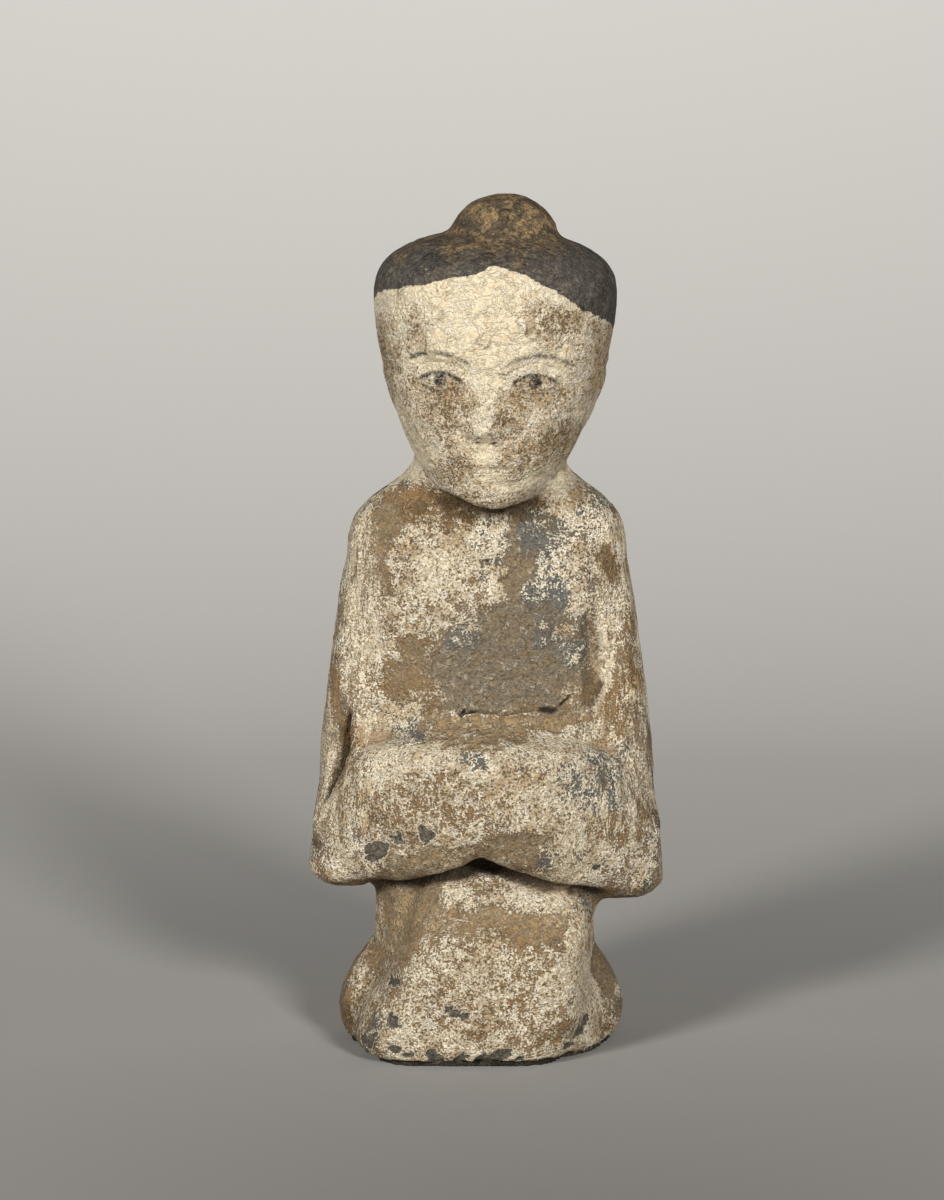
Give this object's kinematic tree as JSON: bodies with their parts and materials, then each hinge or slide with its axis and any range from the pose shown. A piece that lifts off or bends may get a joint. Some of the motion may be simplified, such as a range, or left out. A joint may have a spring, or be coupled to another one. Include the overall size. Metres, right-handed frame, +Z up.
{
  "type": "tomb figure",
  "caption": "Kneeling tomb attendant of grey earthenware under worn cream slip, hands folded inside its sleeves, hair in a low topknot, resting on the flat underside of its robe.",
  "frame": {"origin": "middle of the figure's outline in plan, on the surface it rests on", "axes": "+Z up from the underside to the topknot, -Y the way the figure faces, -X its own right"},
  "size_m": [0.0812, 0.064, 0.1954],
  "materials": {
    "slipped_earthenware": "matt"
  },
  "bodies": {
    "root": {"tomb_figure": "slipped_earthenware"}
  },
  "joints": []
}
